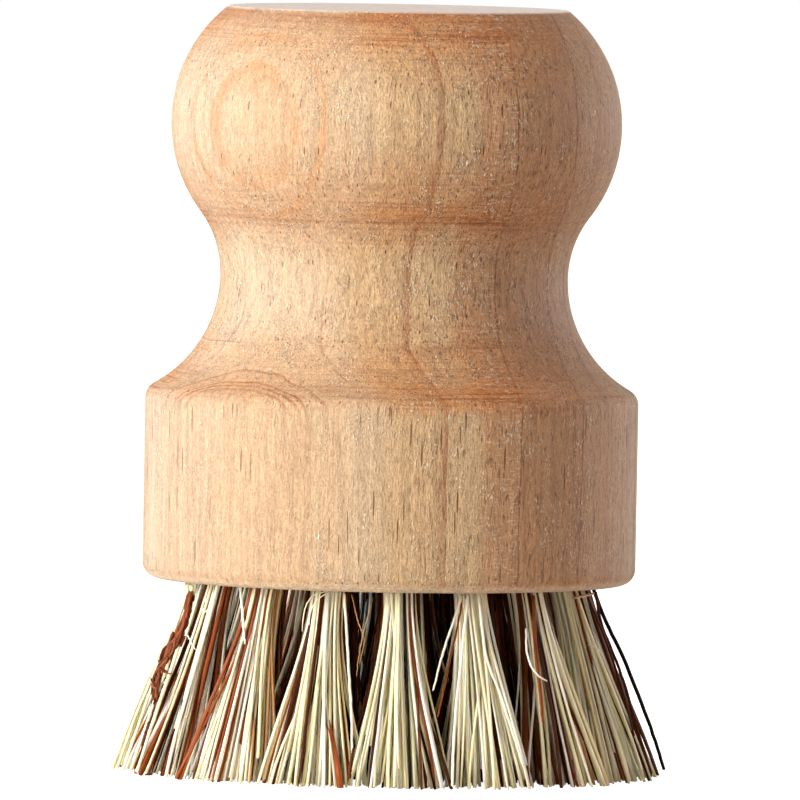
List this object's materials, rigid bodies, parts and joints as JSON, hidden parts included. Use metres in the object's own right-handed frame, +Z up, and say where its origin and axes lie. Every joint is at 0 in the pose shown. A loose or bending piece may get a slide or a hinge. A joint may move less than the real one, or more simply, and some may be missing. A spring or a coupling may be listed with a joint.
{
  "type": "palm brush",
  "caption": "Turned wooden palm brush: round knob, narrow waist and drilled base, with flared tufts of stiff mixed plant fibre stapled into its underside.",
  "frame": {"origin": "centre of the trimmed bristle tips, on the plane that the brush stands on", "axes": "+Z up the handle's turned axis to the flat end of the knob, -Y to the front of the brush"},
  "size_m": [0.0668, 0.0668, 0.0931],
  "materials": {
    "wood": "bare turned rubberwood, sanded",
    "union_fibre": "mixed dry plant fibre, cream, white and reddish brown",
    "staple_wire": "drawn steel wire"
  },
  "bodies": {
    "root": {"handle": "wood", "staples_outer": "staple_wire", "staples_middle": "staple_wire", "staples_inner": "staple_wire", "staples_centre": "staple_wire", "tuft_outer_01": "union_fibre", "tuft_outer_02": "union_fibre", "tuft_outer_03": "union_fibre", "tuft_outer_04": "union_fibre", "tuft_outer_05": "union_fibre", "tuft_outer_06": "union_fibre", "tuft_outer_07": "union_fibre", "tuft_outer_08": "union_fibre", "tuft_outer_09": "union_fibre", "tuft_outer_10": "union_fibre", "tuft_outer_11": "union_fibre", "tuft_outer_12": "union_fibre", "tuft_outer_13": "union_fibre", "tuft_outer_14": "union_fibre", "tuft_outer_15": "union_fibre", "tuft_outer_16": "union_fibre", "tuft_middle_01": "union_fibre", "tuft_middle_02": "union_fibre", "tuft_middle_03": "union_fibre", "tuft_middle_04": "union_fibre", "tuft_middle_05": "union_fibre", "tuft_middle_06": "union_fibre", "tuft_middle_07": "union_fibre", "tuft_middle_08": "union_fibre", "tuft_middle_09": "union_fibre", "tuft_middle_10": "union_fibre", "tuft_inner_01": "union_fibre", "tuft_inner_02": "union_fibre", "tuft_inner_03": "union_fibre", "tuft_inner_04": "union_fibre", "tuft_inner_05": "union_fibre", "tuft_centre_01": "union_fibre"}
  },
  "joints": []
}
